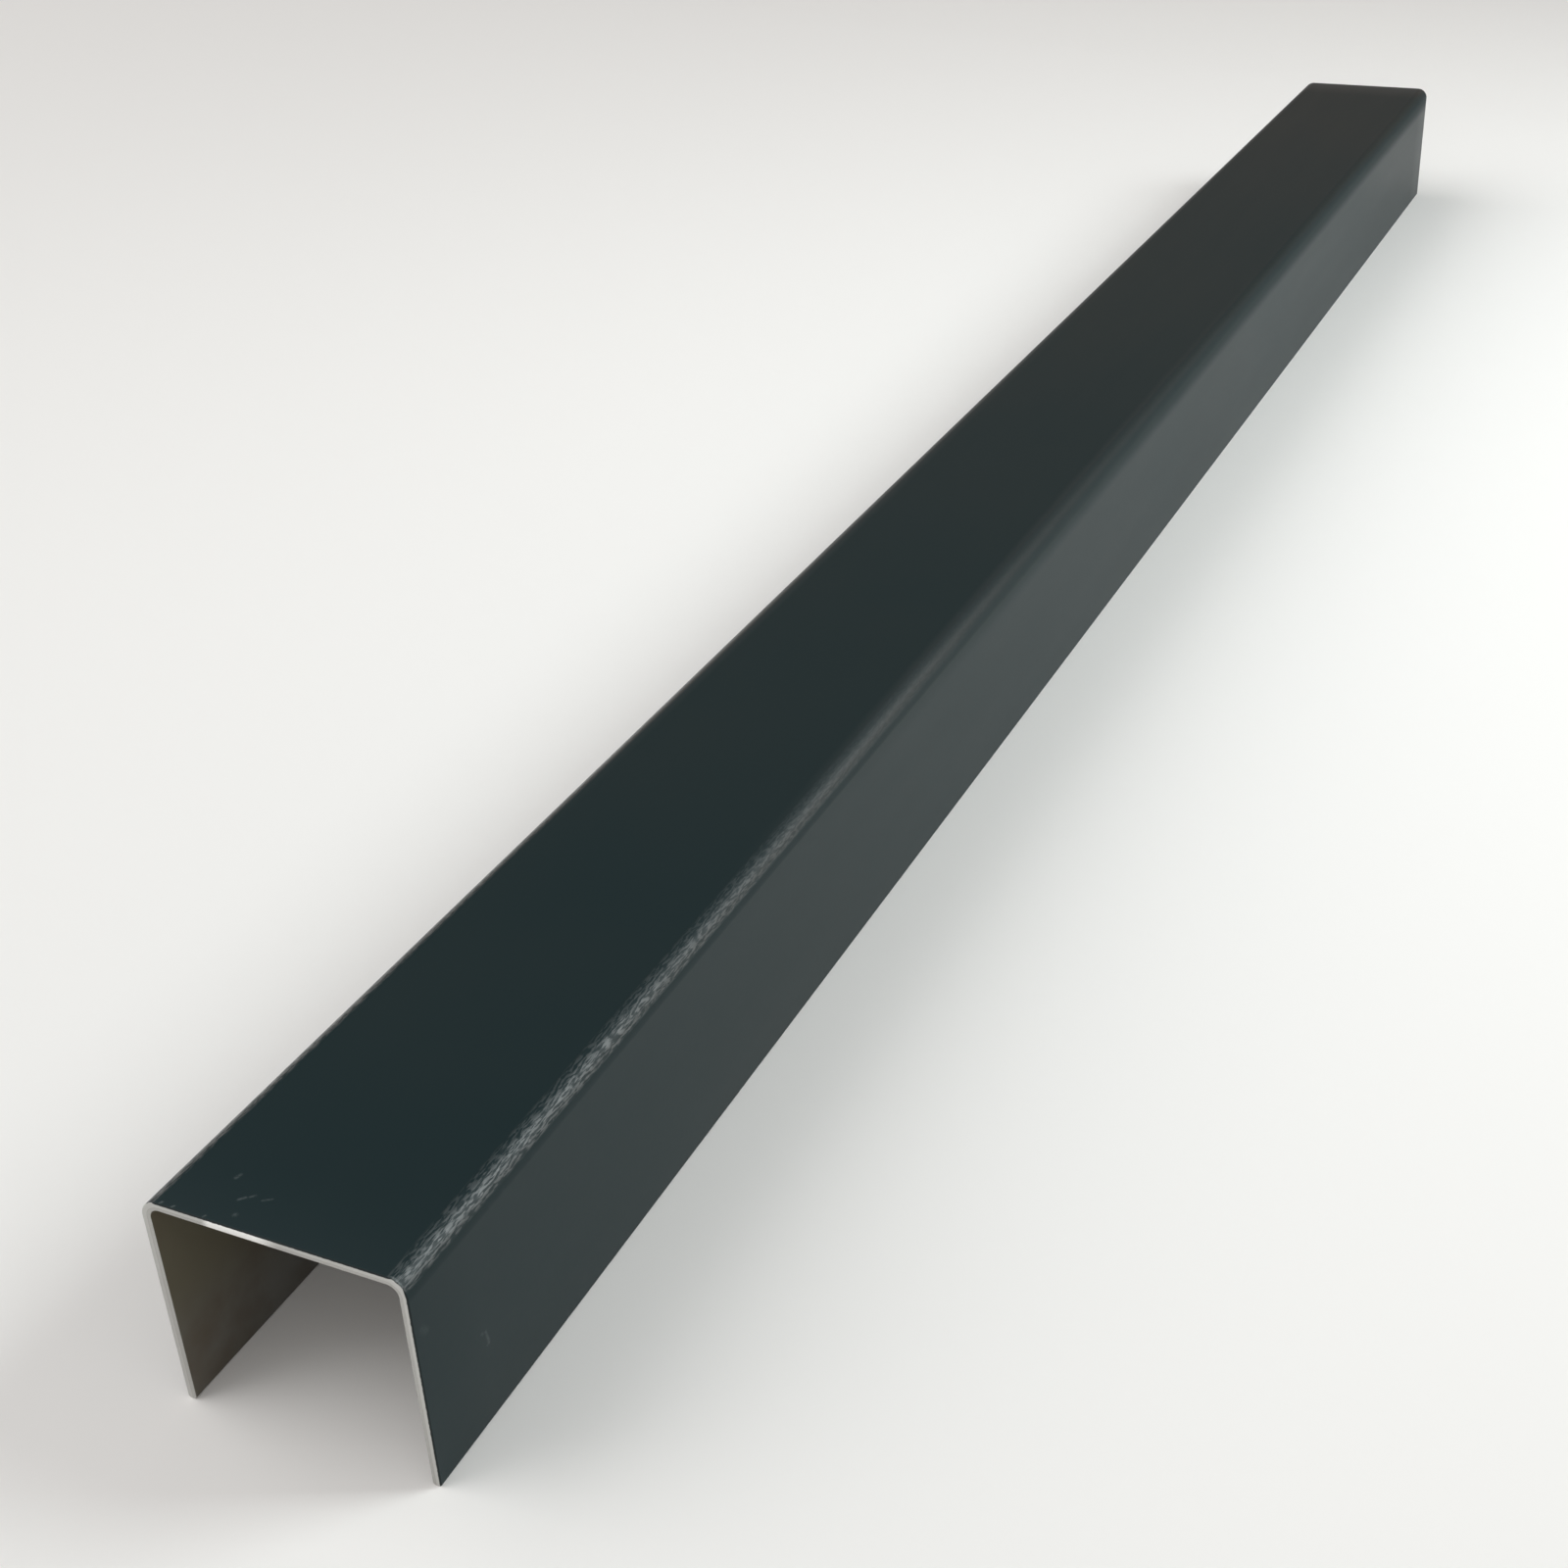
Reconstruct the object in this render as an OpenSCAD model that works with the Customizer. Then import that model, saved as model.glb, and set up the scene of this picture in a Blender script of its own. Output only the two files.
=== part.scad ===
// Folded sheet-metal channel: one strip of coated sheet, folded twice into a U.
// It stands on the tips of its legs, with its length along Y and its section in the XZ plane.
// The origin is on the standing plane, midway between the legs and midway along the length.

/* [Section] */
// Width over the outside of both legs
outside_width = 30; // [20:0.5:80]
// Height of each leg, from its tip to the outside of the web
leg_height = 26; // [15:0.5:80]

/* [Sheet] */
// Thickness of the sheet
sheet_thickness = 1; // [0.5:0.05:2]
// Radius on the inside of each fold
inside_fold_radius = 1.2; // [0.5:0.1:4]
// Radius of the rounded edges along the tip of each leg
tip_edge_radius = 0.35; // [0.05:0.01:0.45]

/* [Stock] */
// Length that the stock is cut to
cut_length = 450; // [100:1:3000]

/* [Hidden] */

// Coating on the outside of the sheet
coat_colour = [0.20, 0.24, 0.25];

// Facets of a full circle where the exact arc is shown as lines
$fn = 96;

outside_fold_radius = inside_fold_radius + sheet_thickness;
// Half of the web that stays flat between the folds
flat_half_web = outside_width / 2 - outside_fold_radius;
// Largest share of the sheet's thickness that one rounded edge of a tip takes up
tip_edge_share = 0.45;
// Rounding of the tips, which thin sheet limits
tip_rounding = min(tip_edge_radius, tip_edge_share * sheet_thickness);
// Stretch of each leg that stays flat between its rounded tip and its fold
flat_leg = leg_height - outside_fold_radius - tip_rounding;

// Quarter ring of sheet about the fold's centre, from the web round to the leg
module fold_section() {
    intersection() {
        difference() {
            circle(r = outside_fold_radius);
            circle(r = inside_fold_radius);
        }
        square(outside_fold_radius);
    }
}

// Leg from the fold down to its tip, with both corners of the tip rounded
module leg_section() {
    translate([outside_width / 2 - sheet_thickness, 0]) {
        translate([0, tip_rounding])
            square([sheet_thickness, flat_leg]);
        translate([tip_rounding, 0])
            square([sheet_thickness - 2 * tip_rounding, tip_rounding]);
        for (corner_x = [tip_rounding, sheet_thickness - tip_rounding])
            translate([corner_x, tip_rounding])
                circle(r = tip_rounding);
    }
}

// Half of the section on the +X side: half of the web, one fold and one leg
module half_section() {
    translate([0, leg_height - sheet_thickness])
        square([flat_half_web, sheet_thickness]);
    translate([flat_half_web, leg_height - outside_fold_radius])
        fold_section();
    leg_section();
}

// The whole folded strip, cut square at both ends
module channel() {
    color(coat_colour)
        rotate([90, 0, 0])
            linear_extrude(height = cut_length, center = true) {
                half_section();
                mirror([1, 0])
                    half_section();
            }
}

channel();
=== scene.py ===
"""Dresses a folded sheet-metal channel: its coats, its bare cut edges, a pale studio and the camera.

Lengths are in metres, except where a name ends in _mm.
"""
from __future__ import annotations

import logging
import math
from dataclasses import dataclass
from enum import Enum
from enum import IntEnum
from typing import Any
from typing import Optional
from typing import Union

import bmesh
import bpy
import numpy as np
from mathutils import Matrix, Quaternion
from mathutils import Vector

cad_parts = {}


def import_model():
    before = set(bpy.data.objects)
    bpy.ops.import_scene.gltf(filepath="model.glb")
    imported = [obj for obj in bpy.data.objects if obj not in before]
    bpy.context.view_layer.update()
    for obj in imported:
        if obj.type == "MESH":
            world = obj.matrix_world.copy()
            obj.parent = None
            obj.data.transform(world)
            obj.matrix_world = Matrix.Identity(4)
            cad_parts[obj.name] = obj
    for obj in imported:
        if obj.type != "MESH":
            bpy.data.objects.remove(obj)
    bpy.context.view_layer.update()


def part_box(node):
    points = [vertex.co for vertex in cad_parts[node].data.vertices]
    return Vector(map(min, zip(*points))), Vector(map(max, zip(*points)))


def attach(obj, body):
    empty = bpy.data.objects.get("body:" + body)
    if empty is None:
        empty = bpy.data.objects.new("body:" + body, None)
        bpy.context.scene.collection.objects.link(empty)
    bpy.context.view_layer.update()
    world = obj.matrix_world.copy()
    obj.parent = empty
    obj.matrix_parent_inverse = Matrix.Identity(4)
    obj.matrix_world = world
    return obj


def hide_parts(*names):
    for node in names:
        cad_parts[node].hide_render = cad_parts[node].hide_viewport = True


LOG = logging.getLogger("channel")
MM = 0.001
QUARTER_TURN = math.pi / 2
NOISE_MEAN = 0.5

Colour = tuple[float, float, float]
Triple = tuple[float, float, float]
Range = tuple[float, float]
Input = Union["Signal", bpy.types.NodeSocket, float, tuple]


class RecordSlot(Enum):
    """The record's material slots."""

    COATED_SHEET = "coated_sheet"


class Surface(IntEnum):
    """The finishes of the sheet, as material indices of its faces."""

    OUTER_COAT = 0
    BACK_COAT = 1
    CUT_EDGE = 2


class Stretch(Enum):
    """The stretch of the outside that a mark lies on."""

    WEB = "web"
    RIGHT_FOLD = "right_fold"
    RIGHT_LEG = "right_leg"


class Signal:
    """A socket that carries one number, with the operators of a number."""

    def __init__(self, tree: ShaderTree, socket: bpy.types.NodeSocket) -> None:
        """Keeps the tree that new nodes go in, and the socket."""
        self.tree = tree
        self.socket = socket

    def __add__(self, other: Input) -> Signal:
        """This plus other."""
        return self.tree.math("ADD", self, other)

    def __radd__(self, other: Input) -> Signal:
        """Other plus this."""
        return self.tree.math("ADD", other, self)

    def __sub__(self, other: Input) -> Signal:
        """This less other."""
        return self.tree.math("SUBTRACT", self, other)

    def __rsub__(self, other: Input) -> Signal:
        """Other less this."""
        return self.tree.math("SUBTRACT", other, self)

    def __mul__(self, other: Input) -> Signal:
        """This times other."""
        return self.tree.math("MULTIPLY", self, other)

    def __rmul__(self, other: Input) -> Signal:
        """Other times this."""
        return self.tree.math("MULTIPLY", other, self)

    def __truediv__(self, other: Input) -> Signal:
        """This over other."""
        return self.tree.math("DIVIDE", self, other)

    def __rtruediv__(self, other: Input) -> Signal:
        """Other over this."""
        return self.tree.math("DIVIDE", other, self)

    def __pow__(self, other: Input) -> Signal:
        """This to the power of other."""
        return self.tree.math("POWER", self, other)

    def __rpow__(self, other: Input) -> Signal:
        """Other to the power of this."""
        return self.tree.math("POWER", other, self)

    def __abs__(self) -> Signal:
        """This without its sign."""
        return self.tree.math("ABSOLUTE", self)

    def at_least(self, other: Input) -> Signal:
        """The larger of this and other."""
        return self.tree.math("MAXIMUM", self, other)

    def at_most(self, other: Input) -> Signal:
        """The smaller of this and other."""
        return self.tree.math("MINIMUM", self, other)

    def step(self, low: float, high: float) -> Signal:
        """Rises smoothly from 0 where this is low to 1 where it is high."""
        node = self.tree.node(
            "ShaderNodeMapRange",
            {"interpolation_type": "SMOOTHSTEP"},
            {"Value": self, "From Min": low, "From Max": high},
        )
        return Signal(self.tree, node.outputs["Result"])

    def fall(self, low: float, high: float) -> Signal:
        """Falls smoothly from 1 where this is low to 0 where it is high."""
        return 1.0 - self.step(low, high)

    def blend(self, first: Input, second: Input) -> Signal:
        """The first where this is 0, the second where it is 1."""
        return first + self * (second - first)


class ShaderTree:
    """The nodes of one material or world."""

    def __init__(self, owner: Union[bpy.types.Material, bpy.types.World]) -> None:
        """Empties the owner's tree and keeps it."""
        owner.use_nodes = True
        self.tree = owner.node_tree
        self.tree.nodes.clear()

    def node(self, kind: str, settings: dict[str, Any], inputs: dict[Any, Input]) -> bpy.types.Node:
        """Adds a node.

        Args:
            kind: the node's type.
            settings: its properties, which are set first.
            inputs: a value or a link for each socket, by its name, identifier or number.

        Returns:
            The node.
        """
        made = self.tree.nodes.new(kind)
        for name, value in settings.items():
            setattr(made, name, value)
        for key, value in inputs.items():
            socket = self._socket(made, key)
            if isinstance(value, Signal):
                self.tree.links.new(value.socket, socket)
            elif isinstance(value, bpy.types.NodeSocket):
                self.tree.links.new(value, socket)
            else:
                socket.default_value = value
        return made

    @staticmethod
    def _socket(node: bpy.types.Node, key: Union[str, int]) -> bpy.types.NodeSocket:
        """Finds an input.

        Args:
            node: the node.
            key: the socket's number, identifier or name.

        Returns:
            The socket.
        """
        if isinstance(key, int):
            return node.inputs[key]
        for socket in node.inputs:
            if socket.identifier == key:
                return socket
        return node.inputs[key]

    def math(self, operation: str, first: Input, second: Input = 0.0) -> Signal:
        """Adds a Math node.

        Args:
            operation: its operation.
            first: its first value.
            second: its second value, where it has one.

        Returns:
            The result.
        """
        node = self.node("ShaderNodeMath", {"operation": operation}, {0: first, 1: second})
        return Signal(self, node.outputs["Value"])

    def vector(self, x: Input, y: Input, z: Input) -> bpy.types.NodeSocket:
        """A vector of three numbers."""
        return self.node("ShaderNodeCombineXYZ", {}, {"X": x, "Y": y, "Z": z}).outputs["Vector"]

    def parts(self, vector: bpy.types.NodeSocket) -> tuple[Signal, Signal, Signal]:
        """The three numbers of a vector."""
        node = self.node("ShaderNodeSeparateXYZ", {}, {"Vector": vector})
        return tuple(Signal(self, node.outputs[name]) for name in "XYZ")

    def reach(self, vector: bpy.types.NodeSocket, direction: Triple) -> Signal:
        """How far a vector reaches in a direction."""
        node = self.node("ShaderNodeVectorMath", {"operation": "DOT_PRODUCT"}, {0: vector, 1: direction})
        return Signal(self, node.outputs["Value"])

    def place_mm(self) -> tuple[Signal, Signal, Signal]:
        """The point's place in the part's frame, in millimetres."""
        coordinates = self.node("ShaderNodeTexCoord", {}, {})
        scaled = self.node(
            "ShaderNodeVectorMath",
            {"operation": "SCALE"},
            {"Vector": coordinates.outputs["Object"], "Scale": 1.0 / MM},
        )
        return self.parts(scaled.outputs["Vector"])

    def noise(self, vector: bpy.types.NodeSocket, detail: float = 2.0) -> Signal:
        """Cloudy noise about its mean, one wave to a unit.

        Args:
            vector: where it is read.
            detail: octaves of finer noise.

        Returns:
            The noise.
        """
        node = self.node("ShaderNodeTexNoise", {}, {"Vector": vector, "Scale": 1.0, "Detail": detail})
        return Signal(self, node.outputs["Fac"])

    def mix(self, share: Input, first: Input, second: Input) -> bpy.types.NodeSocket:
        """Blends two colours.

        Args:
            share: how much of the second shows.
            first: a colour or a link to one.
            second: a colour or a link to one.

        Returns:
            The blend.
        """
        colours = [(*c, 1.0) if isinstance(c, tuple) else c for c in (first, second)]
        node = self.node(
            "ShaderNodeMix",
            {"data_type": "RGBA", "clamp_factor": True},
            {"Factor_Float": share, "A_Color": colours[0], "B_Color": colours[1]},
        )
        return next(s for s in node.outputs if s.identifier == "Result_Color")

    def bump(
        self,
        height: Signal,
        depth_mm: float,
        normal: Optional[bpy.types.NodeSocket] = None,
    ) -> bpy.types.NodeSocket:
        """Turns a height into a normal.

        Args:
            height: the height, as a share of the depth.
            depth_mm: the depth of a height of 1.
            normal: a normal that this one is laid on, or None.

        Returns:
            The normal.
        """
        inputs = {"Height": height, "Distance": depth_mm * MM}
        if normal is not None:
            inputs["Normal"] = normal
        return self.node("ShaderNodeBump", {}, inputs).outputs["Normal"]

    def surface(self, inputs: dict[str, Input]) -> None:
        """Ends the tree in a Principled shader with these inputs."""
        shader = self.node("ShaderNodeBsdfPrincipled", {}, inputs)
        self.node("ShaderNodeOutputMaterial", {}, {"Surface": shader.outputs["BSDF"]})


@dataclass(frozen=True)
class Section:
    """The folded section, and where its points lay on the flat strip."""

    width_mm: float
    height_mm: float
    length_mm: float
    sheet_mm: float = 1.0
    fold_radius_mm: float = 2.2

    @property
    def flat_half_web_mm(self) -> float:
        """Half of the web that stays flat between the folds."""
        return self.width_mm / 2 - self.fold_radius_mm

    @property
    def flat_leg_mm(self) -> float:
        """Height of a leg's flat, from its tip to its fold."""
        return self.height_mm - self.fold_radius_mm

    @property
    def middle_radius_mm(self) -> float:
        """Radius of a fold along the middle of the sheet."""
        return self.fold_radius_mm - self.sheet_mm / 2

    @property
    def joins_mm(self) -> tuple[float, ...]:
        """The places across the flat strip where its tips, legs, folds and web meet."""
        web = self.flat_half_web_mm
        leg = web + self.middle_radius_mm * QUARTER_TURN
        tip = leg + self.flat_leg_mm
        return -tip, -leg, -web, web, leg, tip

    def unfold(self, x_mm: float, z_mm: float) -> tuple[float, float]:
        """Lays a point of the section flat.

        Args:
            x_mm: its x.
            z_mm: its z.

        Returns:
            Its place across the flat strip, from the middle of the web, and its depth under the outside.
        """
        past_web = max(abs(x_mm) - self.flat_half_web_mm, 0.0)
        past_leg = max(z_mm - self.flat_leg_mm, 0.0)
        bent = math.atan2(past_web, past_leg) * self.middle_radius_mm
        across = min(abs(x_mm), self.flat_half_web_mm) + bent + max(self.flat_leg_mm - z_mm, 0.0)
        return math.copysign(across, x_mm), self.fold_radius_mm - math.hypot(past_web, past_leg)


class FlatStrip:
    """A shader's view of the sheet as it lay before it was folded.

    x, y and z are the place in the part's frame, and side keeps the patterns of the two sides apart. across
    runs from the middle of the web, past_fold down the leg, depth in from the outside, and from_near_end
    along the strip. fold is the share of the bend, from 0 at the web to 1 at the leg. All but side and fold
    are in millimetres.
    """

    SIDES_APART = 40.0

    def __init__(self, tree: ShaderTree, section: Section) -> None:
        """Works out the place of each point on the flat strip.

        Args:
            tree: the nodes that it is worked out in.
            section: the folded section.
        """
        self.tree = tree
        self.section = section
        self.x, self.y, self.z = tree.place_mm()
        self.side = tree.math("SIGN", self.x) * self.SIDES_APART
        past_web = (abs(self.x) - section.flat_half_web_mm).at_least(0.0)
        past_leg = (self.z - section.flat_leg_mm).at_least(0.0)
        angle = tree.math("ARCTAN2", past_web, past_leg)
        bent = angle * section.middle_radius_mm
        self.fold = angle / QUARTER_TURN
        self.past_fold = (section.flat_leg_mm - self.z).at_least(0.0)
        self.across = abs(self.x).at_most(section.flat_half_web_mm) + bent + self.past_fold
        self.depth = section.fold_radius_mm - (past_web * past_web + past_leg * past_leg) ** 0.5
        self.from_near_end = self.y + section.length_mm / 2

    def streaks(self, wide_mm: float, long_mm: float, sway: Input = 0.0) -> bpy.types.NodeSocket:
        """Coordinates in which a pattern runs along the strip.

        Args:
            wide_mm: millimetres to a unit across the strip.
            long_mm: millimetres to a unit along it.
            sway: units that the pattern is pushed across.

        Returns:
            The coordinates.
        """
        return self.tree.vector(self.across / wide_mm + sway, self.y / long_mm, self.side)

    def even(self, size_mm: float) -> bpy.types.NodeSocket:
        """Coordinates in the part's frame, with size_mm to a unit."""
        return self.tree.vector(self.x / size_mm, self.y / size_mm, self.z / size_mm)


@dataclass(frozen=True)
class Scuff:
    """A faint light mark on the outer coat: a soft stroke between two points.

    A point is its place across the stretch and its distance from the near end. The place is an x on the
    web, a z on the leg and the share of the bend on the fold. The ranges tell the stretches apart.
    """

    stretch: Stretch
    start_mm: tuple[float, float]
    end_mm: tuple[float, float]
    wide_mm: float
    strength: float
    right_side_mm: Range = (0.0, 1.0)
    web_ends: Range = (0.0, 0.2)
    leg_begins: Range = (0.8, 1.0)

    def mask(self, strip: FlatStrip) -> Signal:
        """How strongly the mark shows at each point.

        Args:
            strip: the sheet's places.

        Returns:
            From 0, outside the mark, to its strength.
        """
        across, here = self._stretch(strip)
        start = Vector(self.start_mm)
        end = Vector(self.end_mm)
        middle = (start + end) / 2
        run = (end - start).normalized()
        first = across - middle.x
        second = strip.from_near_end - middle.y
        along = first * run.x + second * run.y
        beside = first * run.y - second * run.x
        past_end = (abs(along) - (end - start).length / 2).at_least(0.0)
        distance = (past_end * past_end + beside * beside) ** 0.5
        return distance.fall(0.0, self.wide_mm) * here * self.strength

    def _stretch(self, strip: FlatStrip) -> tuple[Signal, Signal]:
        """The place across the mark's stretch, and 1 where that stretch is.

        Args:
            strip: the sheet's places.

        Returns:
            Both signals.
        """
        on_right = strip.x.step(*self.right_side_mm)
        if self.stretch is Stretch.WEB:
            return strip.x, strip.fold.fall(*self.web_ends)
        if self.stretch is Stretch.RIGHT_LEG:
            return strip.z, on_right * strip.fold.step(*self.leg_begins)
        return strip.fold, on_right


SCUFFS = (
    Scuff(Stretch.WEB, (-8.03, 5.85), (-7.99, 6.02), 0.34, 0.26),
    Scuff(Stretch.WEB, (-7.92, 6.30), (-7.88, 6.42), 0.30, 0.24),
    Scuff(Stretch.WEB, (-5.88, 3.40), (-5.42, 3.92), 0.26, 0.30),
    Scuff(Stretch.WEB, (-5.08, 4.12), (-4.70, 4.48), 0.22, 0.26),
    Scuff(Stretch.WEB, (-3.66, 4.16), (-2.92, 4.66), 0.22, 0.20),
    Scuff(Stretch.WEB, (-4.86, 1.55), (-4.82, 1.60), 0.42, 0.24),
    Scuff(Stretch.WEB, (-12.54, 0.22), (-12.42, 0.42), 0.22, 0.45),
    Scuff(Stretch.WEB, (-11.13, 0.20), (-11.00, 0.40), 0.20, 0.40),
    Scuff(Stretch.WEB, (-7.47, 0.22), (-7.40, 0.42), 0.20, 0.35),
    # A painted highlight on the rollover of the fold at the near cut, drawn as a light flake of the coat.
    Scuff(Stretch.RIGHT_FOLD, (0.26, 0.25), (0.42, 0.20), 0.20, 0.80),
    Scuff(Stretch.RIGHT_LEG, (10.88, 10.20), (9.79, 10.41), 0.30, 0.24),
    Scuff(Stretch.RIGHT_LEG, (9.79, 10.41), (9.21, 10.48), 0.32, 0.28),
    Scuff(Stretch.RIGHT_LEG, (9.21, 10.48), (9.16, 10.16), 0.26, 0.20),
    Scuff(Stretch.RIGHT_LEG, (11.10, 9.55), (10.98, 9.68), 0.36, 0.20),
    Scuff(Stretch.RIGHT_LEG, (19.30, 1.20), (18.70, 1.75), 0.70, 0.10),
)


@dataclass(frozen=True)
class Crazing:
    """Fine stretched fibres that folding leaves in the coat, smoothed out far from the near end."""

    wide_mm: float = 0.16
    long_mm: float = 1.35
    deep_mm: float = 0.10
    sway: float = 1.3
    sway_wide_mm: float = 0.9
    sway_long_mm: float = 1.6
    patch_wide_mm: float = 0.5
    patch_long_mm: float = 1.4
    shining_heights: Range = (0.44, 0.58)
    bright_patches: Range = (0.35, 0.65)
    dim_patch_shine: float = 0.75
    smooths_mm: Range = (20.0, 110.0)
    most_smoothed: float = 0.82

    def heights(self, strip: FlatStrip) -> Signal:
        """The height of the fibres, from 0 to 1."""
        drift = strip.tree.noise(strip.streaks(self.sway_wide_mm, self.sway_long_mm)) - NOISE_MEAN
        return strip.tree.noise(strip.streaks(self.wide_mm, self.long_mm, drift * self.sway))

    def shine(self, strip: FlatStrip, heights: Signal) -> Signal:
        """How well the fibres shine.

        Args:
            strip: the sheet's places.
            heights: the height of the fibres.

        Returns:
            From 0, between them, to 1 on those of a bright patch.
        """
        patches = strip.tree.noise(strip.streaks(self.patch_wide_mm, self.patch_long_mm), detail=1.0)
        brightness = patches.step(*self.bright_patches).blend(self.dim_patch_shine, 1.0)
        return heights.step(*self.shining_heights) * brightness

    def smoothed(self, strip: FlatStrip) -> Signal:
        """How far the fibres are smoothed out, from 0 at the near end."""
        return strip.from_near_end.step(*self.smooths_mm) * self.most_smoothed


@dataclass(frozen=True)
class MattBand:
    """A band along the lower edge of a fold where the coat is stretched matt."""

    on_fold: Range
    down_leg_mm: float
    strength: float

    def mask(self, strip: FlatStrip) -> Signal:
        """How matt the coat is at each point, from 0 to the band's strength."""
        return strip.fold.step(*self.on_fold) * strip.past_fold.fall(0.0, self.down_leg_mm) * self.strength


@dataclass(frozen=True)
class Sheen:
    """A soft sheen over the upper edge of a fold, along the middle of the channel."""

    strength: float = 0.31
    before_fold_mm: float = 1.2
    into_fold_mm: float = 0.5
    ends: Range = (0.15, 0.75)
    rises_mm: Range = (60.0, 120.0)
    falls_mm: Range = (150.0, 330.0)

    def mask(self, strip: FlatStrip) -> Signal:
        """How strongly the sheen shows at each point.

        Args:
            strip: the sheet's places.

        Returns:
            From 0 to its strength.
        """
        edge = strip.section.flat_half_web_mm
        over_edge = strip.across.step(edge - self.before_fold_mm, edge + self.into_fold_mm)
        along = strip.from_near_end.step(*self.rises_mm) * strip.from_near_end.fall(*self.falls_mm)
        return over_edge * strip.fold.fall(*self.ends) * along * self.strength


@dataclass(frozen=True)
class OuterCoat:
    """Satin coil coating on the outside: dark, faintly pebbled, crazed and polished along the folds.

    Ranges in _mm are distances from the near end, edges are shares of the bend, and the others are shares of
    a noise.
    """

    colour: Colour = (0.0105, 0.0225, 0.0250)
    worn_colour: Colour = (0.0125, 0.0235, 0.0255)
    worn_patch_mm: float = 38.0
    worn: Range = (0.3, 0.7)
    scuffs: tuple[Scuff, ...] = SCUFFS
    scuff_colour: Colour = (0.17, 0.19, 0.19)
    scuff_grain_mm: float = 0.22
    scuff_grain: Range = (0.25, 0.55)
    scuff_roughness: float = 0.12
    specular: float = 0.17
    roughness: float = 0.40
    handled_wide_mm: float = 7.0
    handled_long_mm: float = 45.0
    handled_roughness: float = 0.05
    fold_roughness: float = 0.30
    matt_roughness: float = 0.80
    near_matt: MattBand = MattBand((0.55, 0.95), 0.5, 0.40)
    far_matt: MattBand = MattBand((0.20, 0.80), 3.2, 0.62)
    matt_widens_mm: Range = (60.0, 260.0)
    upper_edge: Range = (0.0, 0.14)
    near_lower_edge: Range = (0.70, 0.82)
    far_lower_edge: Range = (0.35, 1.0)
    lower_edge_softens_mm: Range = (60.0, 160.0)
    polish_fades_mm: Range = (70.0, 190.0)
    polish_roughness: float = 0.50
    polish_ior: float = 1.9
    least_polish: float = 0.10
    fibre_polish: float = 0.90
    smooth_polish: float = 0.28
    crazing: Crazing = Crazing()
    sheen: Sheen = Sheen()
    pebble_mm: float = 0.9
    pebble_deep_mm: float = 0.004

    def material(self, section: Section) -> bpy.types.Material:
        """Makes the coat.

        Args:
            section: the folded section that it covers.

        Returns:
            The material.
        """
        made = bpy.data.materials.new("outer_coat")
        tree = ShaderTree(made)
        strip = FlatStrip(tree, section)
        scuffed = self._scuffed(strip)
        on_fold = self._on_fold(strip)
        worked = on_fold * strip.from_near_end.fall(*self.polish_fades_mm)
        fibres = self.crazing.heights(strip)
        smoothed = self.crazing.smoothed(strip)
        shine = self.crazing.shine(strip, fibres) * (1.0 - smoothed) * self.fibre_polish
        polish = worked * (self.least_polish + shine + smoothed * self.smooth_polish)
        pebbled = tree.bump(tree.noise(strip.even(self.pebble_mm)), self.pebble_deep_mm)
        crazed = fibres * on_fold * (1.0 - smoothed)
        tree.surface(
            {
                "Base Color": self._base(strip, scuffed),
                "Roughness": self._roughness(strip, scuffed, worked),
                "Specular IOR Level": self.specular,
                "Coat Weight": polish + self.sheen.mask(strip),
                "Coat Roughness": self.polish_roughness,
                "Coat IOR": self.polish_ior,
                "Normal": tree.bump(crazed, self.crazing.deep_mm, pebbled),
            }
        )
        return made

    def _scuffed(self, strip: FlatStrip) -> Signal:
        """Where the coat is scuffed.

        Args:
            strip: the sheet's places.

        Returns:
            From 0 to the strength of the scuff.
        """
        scuffed = self.scuffs[0].mask(strip)
        for scuff in self.scuffs[1:]:
            scuffed = scuffed.at_least(scuff.mask(strip))
        return scuffed

    def _on_fold(self, strip: FlatStrip) -> Signal:
        """Where the fold works the coat: from its upper edge to a lower edge that is softer far along.

        Args:
            strip: the sheet's places.

        Returns:
            From 0, off the fold, to 1.
        """
        near = strip.fold.fall(*self.near_lower_edge)
        far = strip.fold.fall(*self.far_lower_edge)
        lower = strip.from_near_end.step(*self.lower_edge_softens_mm).blend(near, far)
        return strip.fold.step(*self.upper_edge) * lower

    def _base(self, strip: FlatStrip, scuffed: Signal) -> bpy.types.NodeSocket:
        """The coat's colour, with its scuffs broken up by a fine grain.

        Args:
            strip: the sheet's places.
            scuffed: where it is scuffed.

        Returns:
            The colour.
        """
        tree = strip.tree
        worn = tree.noise(strip.even(self.worn_patch_mm), detail=3.0).step(*self.worn)
        grain = tree.noise(strip.even(self.scuff_grain_mm)).step(*self.scuff_grain)
        base = tree.mix(worn, self.colour, self.worn_colour)
        return tree.mix(scuffed * grain, base, self.scuff_colour)

    def _roughness(self, strip: FlatStrip, scuffed: Signal, worked: Signal) -> Signal:
        """The coat's roughness: satin, smoother where the fold worked it and matt below, wider far along.

        Args:
            strip: the sheet's places.
            scuffed: where it is scuffed.
            worked: where the fold worked it.

        Returns:
            The roughness.
        """
        streaks = strip.streaks(self.handled_wide_mm, self.handled_long_mm)
        handled = strip.tree.noise(streaks, detail=3.0) - NOISE_MEAN
        rough = self.roughness + handled * self.handled_roughness + scuffed * self.scuff_roughness
        rough = rough + worked * (self.fold_roughness - self.roughness)
        widened = strip.from_near_end.step(*self.matt_widens_mm)
        matt = widened.blend(self.near_matt.mask(strip), self.far_matt.mask(strip))
        return matt.blend(rough, self.matt_roughness)


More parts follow.
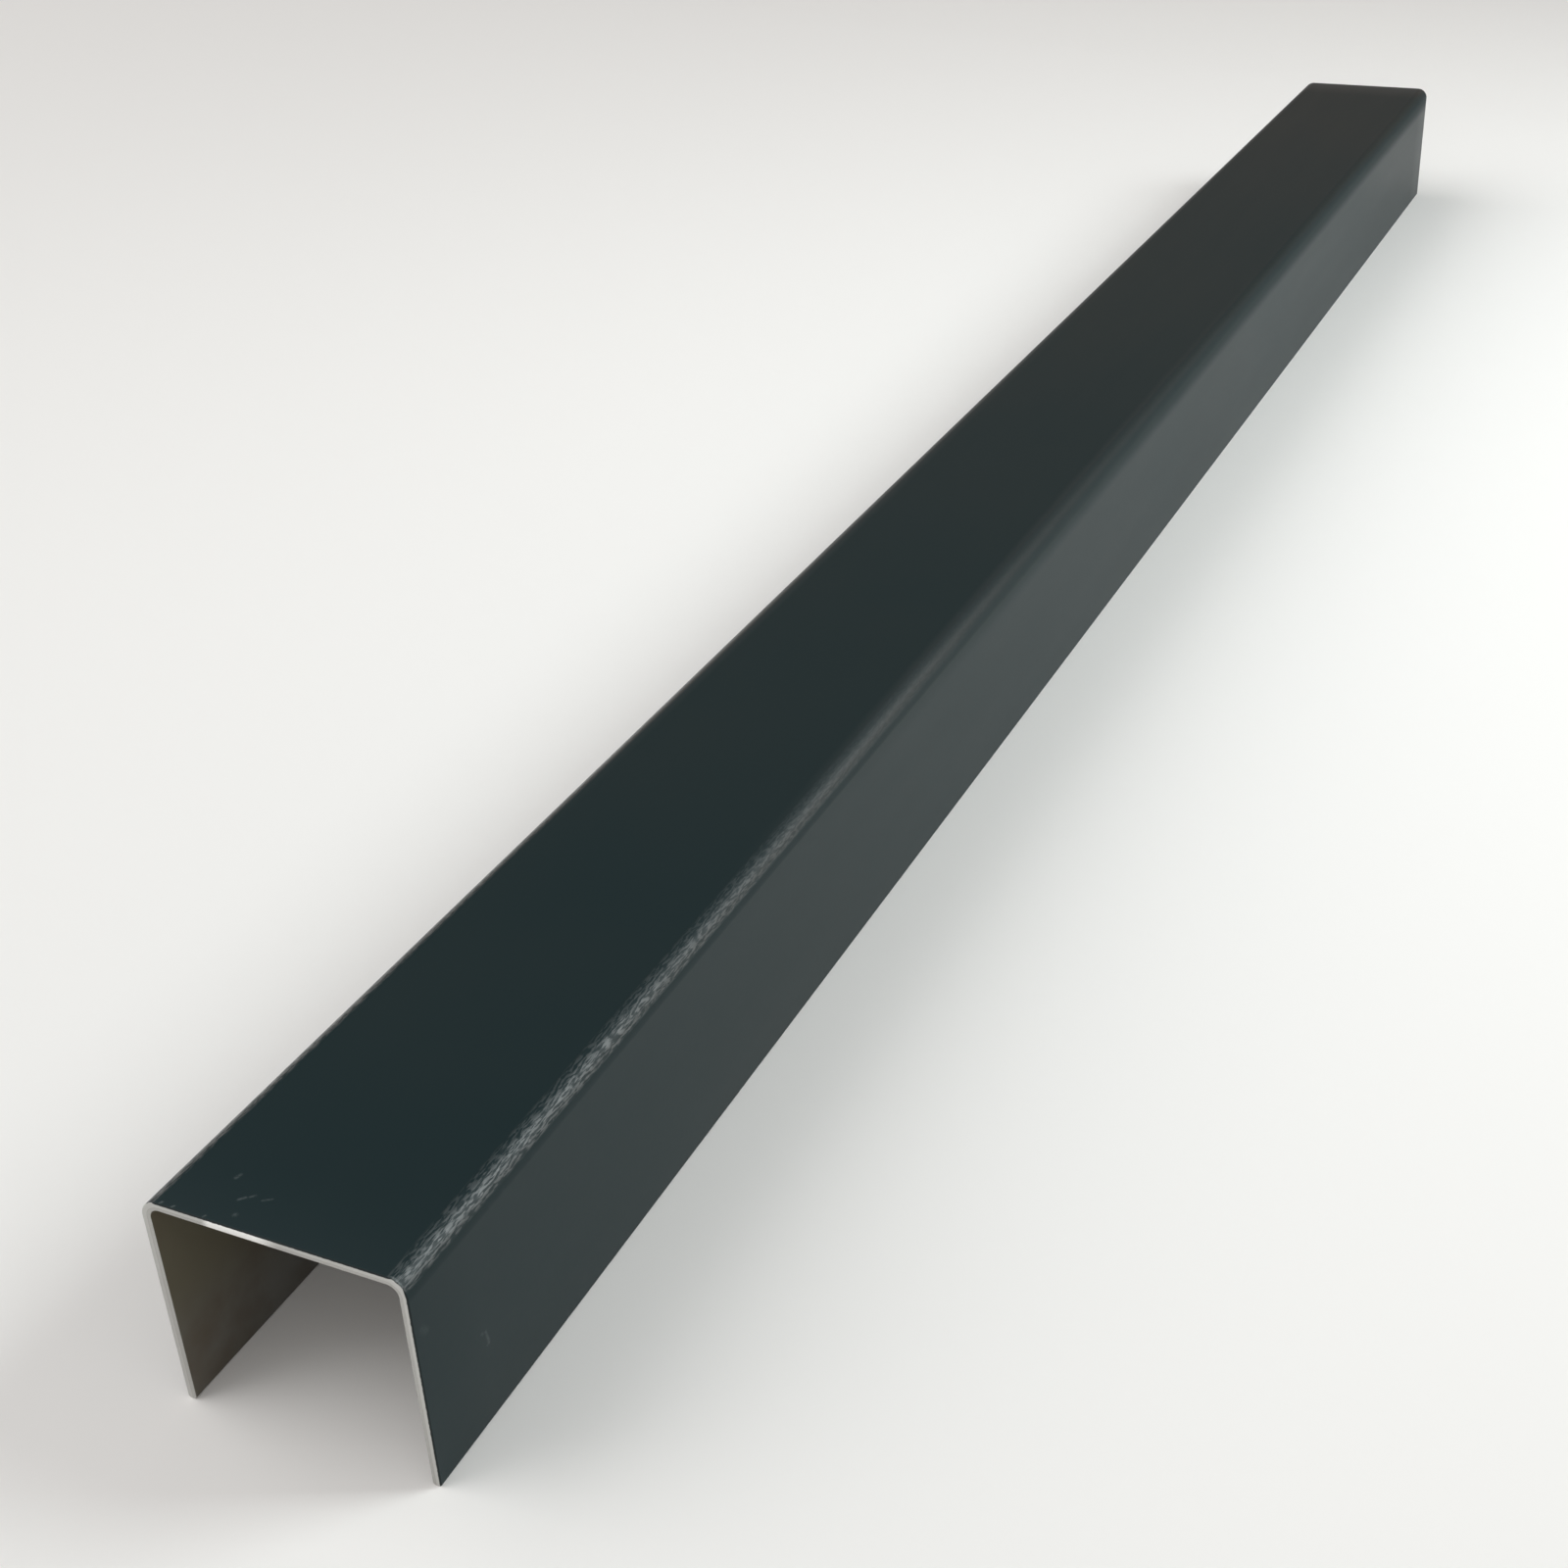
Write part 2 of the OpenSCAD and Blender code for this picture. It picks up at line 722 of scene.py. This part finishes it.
@dataclass(frozen=True)
class BackCoat:
    """Thin back coat on the inside: olive grey, clouded with brown, with a few dark specks, and painted
    shade towards the web.
    """

    colour: Colour = (0.134, 0.130, 0.116)
    # Painted shade: the colour that the inside takes on towards the web, which shades it.
    shaded_upper_colour: Colour = (0.112, 0.100, 0.066)
    shaded_upper_mm: Range = (3.0, 15.0)
    cloud_colour: Colour = (0.090, 0.072, 0.048)
    cloud_mm: float = 11.0
    clouded: Range = (0.42, 0.72)
    cloud_strength: float = 0.8
    cloud_roughness: float = 0.12
    speck_colour: Colour = (0.018, 0.015, 0.012)
    speck_spacing_mm: float = 3.2
    speck_sizes: Range = (0.04, 0.11)
    speck_rim: Range = (0.6, 1.0)
    speck_chance: Range = (0.70, 0.74)
    speck_strength: float = 0.8
    roughness: float = 0.55
    specular: float = 0.3
    grain_mm: float = 0.5
    grain_deep_mm: float = 0.006

    def material(self, section: Section) -> bpy.types.Material:
        """Makes the coat.

        Args:
            section: the folded section that it lines.

        Returns:
            The material.
        """
        made = bpy.data.materials.new("back_coat")
        tree = ShaderTree(made)
        strip = FlatStrip(tree, section)
        cloud = tree.noise(strip.even(self.cloud_mm), detail=4.0)
        # Painted shade: the coat turns darker and browner towards the web, which shades the inside.
        base = tree.mix(strip.z.step(*self.shaded_upper_mm), self.colour, self.shaded_upper_colour)
        base = tree.mix(cloud.step(*self.clouded) * self.cloud_strength, base, self.cloud_colour)
        base = tree.mix(self._specks(strip) * self.speck_strength, base, self.speck_colour)
        grain = tree.noise(strip.even(self.grain_mm), detail=3.0)
        tree.surface(
            {
                "Base Color": base,
                "Roughness": self.roughness + (cloud - NOISE_MEAN) * self.cloud_roughness,
                "Specular IOR Level": self.specular,
                "Normal": tree.bump(grain, self.grain_deep_mm),
            }
        )
        return made

    def _specks(self, strip: FlatStrip) -> Signal:
        """Where the coat has a speck: in a few cells of an uneven grid, each of a size of its own.

        Args:
            strip: the sheet's places.

        Returns:
            From 0, between the specks, to 1.
        """
        tree = strip.tree
        cells = tree.node(
            "ShaderNodeTexVoronoi",
            {"feature": "F1"},
            {"Vector": strip.even(self.speck_spacing_mm), "Scale": 1.0},
        )
        chance, size, _ = tree.parts(cells.outputs["Color"])
        distance = Signal(tree, cells.outputs["Distance"])
        specks = (distance / size.blend(*self.speck_sizes)).fall(*self.speck_rim)
        return specks * chance.step(*self.speck_chance)


@dataclass(frozen=True)
class BareMetal:
    """Sheared bare metal: a rim of drawn outer coat darkened with painted shade, a burnished band, a dull
    line, a grainy break and a painted glint.

    near_end_mm is a distance from the near end, and the other ranges in _mm are along x. The glint's, the
    leg's and the fold's ranges without a unit are shares of the bend.
    """

    colour: Colour = (0.53, 0.528, 0.51)
    roughness: float = 0.32
    ragged_wide_mm: float = 0.5
    ragged_long_mm: float = 3.0
    ragged_deep_mm: float = 0.16
    grain_wide_mm: float = 0.06
    grain_high_mm: float = 0.8
    grain_long_mm: float = 0.5
    grain_deep_mm: float = 0.012
    grain_roughness: float = 0.12
    break_colour: Colour = (0.41, 0.405, 0.385)
    break_roughness: float = 0.50
    break_mm: float = 0.62
    break_rim_mm: float = 0.1
    break_grain: Range = (0.25, 0.7)
    break_strength: float = 0.6
    break_line_mm: float = 0.08
    break_line_rim: Range = (0.3, 1.0)
    break_line_strength: float = 0.9
    # The glint is a painted highlight on the near end's web cut.
    painted_glint_colour: Colour = (0.96, 0.96, 0.94)
    glint_roughness: float = 0.18
    glint_begins_mm: Range = (-7.8, -6.8)
    glint_ends_mm: Range = (-1.6, 1.2)
    glint_on_fold: Range = (0.0, 0.1)
    near_end_mm: Range = (1.0, 2.0)
    # Half the outer coat's colour: the drawn coat on the rim, darkened with painted shade of the burr.
    shaded_rim_colour: Colour = (0.006, 0.011, 0.012)
    coat_roughness: float = OuterCoat.roughness
    coat_specular: float = OuterCoat.specular
    coat_rim_mm: float = 0.03
    drawn_coat_mm: float = 0.19
    drawn_on_leg_mm: float = 0.20
    leg_begins: Range = (0.7, 1.0)
    left_leg_ends_mm: Range = (-14.6, -13.0)
    fold_begins: Range = (0.05, 0.25)
    fold_ends: Range = (0.6, 0.8)
    bare_on_fold: float = 0.8

    def material(self, section: Section) -> bpy.types.Material:
        """Makes the metal.

        Args:
            section: the folded section whose cut edges it covers.

        Returns:
            The material.
        """
        made = bpy.data.materials.new("bare_metal")
        tree = ShaderTree(made)
        strip = FlatStrip(tree, section)
        uneven = tree.vector(strip.across / self.ragged_wide_mm, strip.y / self.ragged_long_mm, 0.0)
        depth = strip.depth + (tree.noise(uneven, detail=3.0) - NOISE_MEAN) * self.ragged_deep_mm
        upright = tree.vector(
            strip.across / self.grain_wide_mm,
            strip.depth / self.grain_high_mm,
            strip.y / self.grain_long_mm,
        )
        grain = tree.noise(upright)
        broken = depth.step(self.break_mm, self.break_mm + self.break_rim_mm)
        line = (abs(depth - self.break_mm) / self.break_line_mm).fall(*self.break_line_rim)
        dull = broken * grain.step(*self.break_grain) * self.break_strength
        base = tree.mix(dull.at_least(line * self.break_line_strength), self.colour, self.break_colour)
        rough = broken.blend(self.roughness, self.break_roughness)
        rough = rough + (grain - NOISE_MEAN) * self.grain_roughness
        # Painted highlight: a near-white, smoother glint on the near end's web cut.
        glint = self._glint(strip)
        base = tree.mix(glint, base, self.painted_glint_colour)
        rough = glint.blend(rough, self.glint_roughness)
        # The drawn coat on the rim is darker than the outer coat: painted shade of the burr.
        coat_and_shade = (depth - self._drawn_coat(strip)).fall(-self.coat_rim_mm, self.coat_rim_mm)
        tree.surface(
            {
                "Base Color": tree.mix(coat_and_shade, base, self.shaded_rim_colour),
                "Metallic": 1.0 - coat_and_shade,
                "Roughness": coat_and_shade.blend(rough, self.coat_roughness),
                "Specular IOR Level": self.coat_specular,
                "Normal": tree.bump(grain * (1.0 - coat_and_shade), self.grain_deep_mm),
            }
        )
        return made

    def _drawn_coat(self, strip: FlatStrip) -> Signal:
        """How deep the drawn coat and its painted shade reach over the rim: little on the folds, and not at
        all on the left leg.

        Args:
            strip: the sheet's places.

        Returns:
            The depth in millimetres.
        """
        on_fold = strip.fold.step(*self.fold_begins) * strip.fold.fall(*self.fold_ends)
        off_left_leg = strip.x.step(*self.left_leg_ends_mm)
        drawn = strip.fold.step(*self.leg_begins).blend(self.drawn_coat_mm, self.drawn_on_leg_mm)
        return drawn * off_left_leg * (1.0 - on_fold * self.bare_on_fold)

    def _glint(self, strip: FlatStrip) -> Signal:
        """The stretch of the near end's web cut that gets a painted highlight, on metal that the blade
        burnished.

        Args:
            strip: the sheet's places.

        Returns:
            From 0, elsewhere, to 1 on the bright stretch.
        """
        across = strip.x.step(*self.glint_begins_mm) * strip.x.fall(*self.glint_ends_mm)
        on_web = strip.fold.fall(*self.glint_on_fold)
        return across * on_web * strip.from_near_end.fall(*self.near_end_mm)


@dataclass(frozen=True)
class BakeMap:
    """The map that textures are baked on: the flat strip, with most room for the folds and the near end.

    along holds the places of both ends and of the two stations between them, and outside and inside hold
    those of the section's joins. Each tip and each cut has a narrow band.
    """

    section: Section
    rim_mm: float
    name: str = "OFBake"
    stations_mm: tuple[float, float] = (40.0, 120.0)
    along: tuple[float, ...] = (0.01, 0.33, 0.63, 0.99)
    outside: tuple[float, ...] = (0.008, 0.108, 0.178, 0.388, 0.478, 0.598)
    inside: tuple[float, ...] = (0.610, 0.680, 0.695, 0.795, 0.810, 0.880)
    left_tip: Range = (0.890, 0.902)
    right_tip: Range = (0.910, 0.922)
    near_cut: Range = (0.930, 0.958)
    far_cut: Range = (0.966, 0.994)
    margin_mm: float = 0.01

    def lay_out(self, mesh: bmesh.types.BMesh) -> None:
        """Gives every face its place on the map.

        Args:
            mesh: the finished mesh, with its surfaces sorted.
        """
        layer = mesh.loops.layers.uv.new(self.name)
        for face in mesh.faces:
            centre = face.calc_center_median() / MM
            for loop in face.loops:
                loop[layer].uv = self._place(Surface(face.material_index), centre, loop.vert.co / MM)

    def _place(self, surface: Surface, centre: Vector, point: Vector) -> tuple[float, float]:
        """Where a corner of a face lies on the map.

        Args:
            surface: the face's finish.
            centre: the face's middle, in millimetres.
            point: the corner, in millimetres.

        Returns:
            Its place on the map.
        """
        length = self.section.length_mm
        joins = self.section.joins_mm
        across, depth = self.section.unfold(point.x, point.z)
        on_length = self._read(point.y + length / 2, (0.0, *self.stations_mm, length), self.along)
        if surface is Surface.OUTER_COAT:
            return on_length, self._read(across, joins, self.outside)
        if surface is Surface.BACK_COAT:
            return on_length, self._read(across, joins, self.inside)
        if abs(centre.y) > length / 2 - self.rim_mm - self.margin_mm:
            band = self.near_cut if centre.y < 0.0 else self.far_cut
            on_length = self._read(across, (joins[0], joins[-1]), (self.along[0], self.along[-1]))
        else:
            band = self.left_tip if centre.x < 0.0 else self.right_tip
        return on_length, self._read(depth, (0.0, self.section.sheet_mm), band)

    @staticmethod
    def _read(value: float, places: tuple[float, ...], marks: tuple[float, ...]) -> float:
        """The mark at a value, evenly between the marks at its neighbouring places."""
        return float(np.interp(value, places, marks))


@dataclass(frozen=True)
class FoldedChannel:
    """The channel: one strip of sheet, folded twice, with rounded leg tips and broken rims at its cuts."""

    section: Section
    fold_segments: int = 24
    tip_edge_mm: float = 0.35
    rim_edge_mm: float = 0.12
    edge_segments: int = 4
    station_mm: float = 10.0
    merge_mm: float = 0.0001
    sharp_deg: float = 45.0
    smooth_deg: float = 40.0
    skin_share: float = 0.02
    outer_coat: OuterCoat = OuterCoat()
    back_coat: BackCoat = BackCoat()
    bare_metal: BareMetal = BareMetal()

    def build(self) -> bpy.types.Object:
        """Folds, thickens and dresses the sheet.

        Returns:
            The channel, in place.
        """
        mesh = bmesh.new()
        self._fold(mesh)
        self._thicken(mesh)
        self._break_edges(mesh)
        self._add_stations(mesh)
        self._sort_surfaces(mesh)
        BakeMap(self.section, self.rim_edge_mm).lay_out(mesh)
        data = bpy.data.meshes.new("folded_channel")
        for finish in (self.outer_coat, self.back_coat, self.bare_metal):
            data.materials.append(finish.material(self.section))
        mesh.to_mesh(data)
        mesh.free()
        made = bpy.data.objects.new("folded_channel", data)
        bpy.context.scene.collection.objects.link(made)
        return made

    def _fold(self, mesh: bmesh.types.BMesh) -> None:
        """Makes the outside of the sheet: a box without its ends and underside, with two round folds.

        Args:
            mesh: an empty mesh.
        """
        size = self.section
        box = bmesh.ops.create_cube(mesh, size=1.0)["verts"]
        bmesh.ops.scale(mesh, vec=Vector((size.width_mm, size.length_mm, size.height_mm)) * MM, verts=box)
        bmesh.ops.translate(mesh, vec=(0.0, 0.0, size.height_mm / 2 * MM), verts=box)
        mesh.normal_update()
        open_sides = [f for f in mesh.faces if round(f.normal.y) != 0 or round(f.normal.z) < 0]
        bmesh.ops.delete(mesh, geom=open_sides, context="FACES")
        folds = [e for e in mesh.edges if len(e.link_faces) == 2]
        self._round(mesh, folds, size.fold_radius_mm, self.fold_segments)

    def _thicken(self, mesh: bmesh.types.BMesh) -> None:
        """Gives the sheet its thickness, inwards.

        Args:
            mesh: the outside of the sheet.
        """
        bmesh.ops.recalc_face_normals(mesh, faces=mesh.faces)
        top = max(mesh.faces, key=lambda f: f.calc_center_median().z)
        if top.normal.z < 0.0:
            bmesh.ops.reverse_faces(mesh, faces=mesh.faces)
        bmesh.ops.solidify(mesh, geom=mesh.faces, thickness=self.section.sheet_mm * MM)
        bmesh.ops.remove_doubles(mesh, verts=mesh.verts, dist=self.merge_mm * MM)
        bmesh.ops.recalc_face_normals(mesh, faces=mesh.faces)

    def _break_edges(self, mesh: bmesh.types.BMesh) -> None:
        """Rounds the leg tips, and then the rims of both cut ends.

        Args:
            mesh: the thick sheet.
        """
        tips = self._sharp_edges(mesh, along_length=True)
        self._round(mesh, tips, self.tip_edge_mm, self.edge_segments)
        rims = self._sharp_edges(mesh, along_length=False)
        self._round(mesh, rims, self.rim_edge_mm, self.edge_segments)

    def _sharp_edges(self, mesh: bmesh.types.BMesh, along_length: bool) -> list[bmesh.types.BMEdge]:
        """Finds the sharp edges of one direction.

        Args:
            mesh: the thick sheet.
            along_length: whether edges along the channel are wanted, or those across it.

        Returns:
            The edges.
        """
        sharp = [e for e in mesh.edges if e.calc_face_angle(0.0) > math.radians(self.sharp_deg)]
        return [e for e in sharp if (abs(e.verts[0].co.y - e.verts[1].co.y) > MM) == along_length]

    @staticmethod
    def _round(
        mesh: bmesh.types.BMesh,
        edges: list[bmesh.types.BMEdge],
        radius_mm: float,
        segments: int,
    ) -> None:
        """Rounds edges.

        Args:
            mesh: the mesh that they are in.
            edges: the edges.
            radius_mm: their radius.
            segments: the flats that make up each rounding.
        """
        bmesh.ops.bevel(
            mesh,
            geom=edges,
            offset=radius_mm * MM,
            offset_type="OFFSET",
            affect="EDGES",
            segments=segments,
            profile=0.5,
            material=-1,
            clamp_overlap=True,
        )

    def _add_stations(self, mesh: bmesh.types.BMesh) -> None:
        """Cuts the long faces at even stations.

        Args:
            mesh: the thick sheet.
        """
        length = self.section.length_mm
        count = round(length / self.station_mm)
        for number in range(1, count):
            place = (number / count - 0.5) * length * MM
            bmesh.ops.bisect_plane(
                mesh,
                geom=[*mesh.verts, *mesh.edges, *mesh.faces],
                plane_co=(0.0, place, 0.0),
                plane_no=(0.0, 1.0, 0.0),
            )

    def _sort_surfaces(self, mesh: bmesh.types.BMesh) -> None:
        """Tells the outside, the inside and the cut edges apart, and shades them smooth.

        Args:
            mesh: the finished mesh.
        """
        for face in mesh.faces:
            face.material_index = self._surface_of(face)
            face.smooth = True
        for edge in mesh.edges:
            edge.smooth = edge.calc_face_angle(0.0) < math.radians(self.smooth_deg)

    def _surface_of(self, face: bmesh.types.BMFace) -> Surface:
        """Which finish a face has.

        Args:
            face: a face of the channel.

        Returns:
            The finish.
        """
        centre = face.calc_center_median() / MM
        _, depth = self.section.unfold(centre.x, centre.z)
        skin = self.skin_share * self.section.sheet_mm
        if depth < skin:
            return Surface.OUTER_COAT
        if depth > self.section.sheet_mm - skin:
            return Surface.BACK_COAT
        return Surface.CUT_EDGE


@dataclass(frozen=True)
class Lamp:
    """A square soft lamp that faces the part, with a grid that narrows its light."""

    name: str
    place: Triple
    size: float
    power: float
    spread_deg: float
    colour: Colour = (1.0, 1.0, 1.0)

    def build(self) -> None:
        """Hangs the lamp."""
        light = bpy.data.lights.new(self.name, "AREA")
        light.shape = "SQUARE"
        light.size = self.size
        light.energy = self.power
        light.spread = math.radians(self.spread_deg)
        light.color = self.colour
        lamp = bpy.data.objects.new(self.name, light)
        lamp.location = self.place
        lamp.rotation_mode = "QUATERNION"
        lamp.rotation_quaternion = (-Vector(self.place)).to_track_quat("-Z", "Y")
        bpy.context.scene.collection.objects.link(lamp)


LAMPS = (
    Lamp("key", (0.54, 0.21, 0.485), size=0.36, power=1.0, spread_deg=90.0, colour=(0.90, 0.98, 0.99)),
    Lamp("fill", (-2.2, -0.846, 2.03), size=3.4, power=46.5, spread_deg=150.0),
    Lamp("front", (0.20, -1.3, 0.55), size=0.5, power=1.5, spread_deg=180.0),
)


@dataclass(frozen=True)
class Studio:
    """A pale floor under soft light, with a sky that is bright behind the camera and dim beyond the part.

    The ranges of the sky are shares of the way up, or of the way round to the direction named before them.
    """

    floor_size: float = 40.0
    floor_drop_mm: float = 0.02
    floor_colour: Colour = (0.92, 0.897, 0.873)
    floor_roughness: float = 0.9
    floor_specular: float = 0.1
    lamps: tuple[Lamp, ...] = LAMPS
    front_sky: Colour = (0.71, 0.71, 0.71)
    front: Triple = (0.4, -0.9, 0.15)
    front_begins: Range = (-0.4, 1.0)
    low_back_sky: Colour = (0.30, 0.155, 0.09)
    high_back_sky: Colour = (0.085, 0.102, 0.105)
    high_begins: Range = (0.12, 0.6)
    right_glow: Colour = (0.60, 0.36, 0.22)
    right: Triple = (0.5, 0.87, 0.0)
    right_begins: Range = (0.75, 1.0)
    glow_ends: Range = (0.05, 0.5)
    horizon_ends: Range = (0.05, 0.13)

    def build(self) -> None:
        """Lays the floor and lights it."""
        self._lay_floor()
        for lamp in self.lamps:
            lamp.build()
        self._light_sky()

    def _lay_floor(self) -> None:
        """Lays a plain pale floor just under the leg tips."""
        mesh = bmesh.new()
        bmesh.ops.create_grid(mesh, x_segments=1, y_segments=1, size=self.floor_size / 2)
        bmesh.ops.translate(mesh, vec=(0.0, 0.0, -self.floor_drop_mm * MM), verts=mesh.verts)
        data = bpy.data.meshes.new("floor")
        mesh.to_mesh(data)
        mesh.free()
        material = bpy.data.materials.new("pale_floor")
        ShaderTree(material).surface(
            {
                "Base Color": (*self.floor_colour, 1.0),
                "Roughness": self.floor_roughness,
                "Specular IOR Level": self.floor_specular,
            }
        )
        data.materials.append(material)
        floor = bpy.data.objects.new("floor", data)
        bpy.context.scene.collection.objects.link(floor)

    def _light_sky(self) -> None:
        """Lights the studio from all round, with a pale strip along the horizon."""
        world = bpy.data.worlds.new("studio")
        bpy.context.scene.world = world
        tree = ShaderTree(world)
        outwards = tree.node("ShaderNodeTexCoord", {}, {}).outputs["Generated"]
        _, _, up = tree.parts(outwards)
        back_sky = tree.mix(up.step(*self.high_begins), self.low_back_sky, self.high_back_sky)
        glow = tree.reach(outwards, self.right).step(*self.right_begins) * up.fall(*self.glow_ends)
        back_sky = tree.mix(glow, back_sky, self.right_glow)
        in_front = tree.reach(outwards, self.front).step(*self.front_begins)
        colour = tree.mix(in_front, back_sky, self.front_sky)
        colour = tree.mix(up.step(*self.horizon_ends), self.front_sky, colour)
        light = tree.node("ShaderNodeBackground", {}, {"Color": colour, "Strength": 1.0})
        tree.node("ShaderNodeOutputWorld", {}, {"Surface": light.outputs["Background"]})


@dataclass(frozen=True)
class ViewPoint:
    """The camera's place and aim."""

    place: Triple = (0.11354, -0.34003, 0.16178)
    azimuth_deg: float = 26.831
    elevation_deg: float = 30.505
    roll_deg: float = 3.179
    lens_mm: float = 50.68
    sensor_mm: float = 36.0
    nearest: float = 0.01
    farthest: float = 50.0

    def build(self) -> None:
        """Sets up the camera as the scene's own."""
        data = bpy.data.cameras.new("camera")
        data.sensor_width = self.sensor_mm
        data.lens = self.lens_mm
        data.clip_start = self.nearest
        data.clip_end = self.farthest
        around = math.radians(self.azimuth_deg)
        down = math.radians(self.elevation_deg)
        level = math.cos(down)
        aim = Vector((-math.sin(around) * level, math.cos(around) * level, -math.sin(down)))
        roll = Quaternion((0.0, 0.0, 1.0), math.radians(-self.roll_deg))
        camera = bpy.data.objects.new("camera", data)
        camera.location = self.place
        camera.rotation_mode = "QUATERNION"
        camera.rotation_quaternion = aim.to_track_quat("-Z", "Y") @ roll
        bpy.context.scene.collection.objects.link(camera)
        bpy.context.scene.camera = camera


def main() -> None:
    """Builds the camera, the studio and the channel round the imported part."""
    logging.basicConfig(level=logging.INFO, format="%(name)s: %(message)s")
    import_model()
    low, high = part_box("channel")
    size = (high - low) / MM
    section = Section(width_mm=size.x, height_mm=size.z, length_mm=size.y)
    bpy.context.scene.view_settings.view_transform = "Standard"
    ViewPoint().build()
    Studio().build()
    channel = FoldedChannel(section).build()
    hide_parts("channel")
    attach(channel, "root")
    LOG.info("%s: %d faces", channel.name, len(channel.data.polygons))


if __name__ == "__main__":
    main()
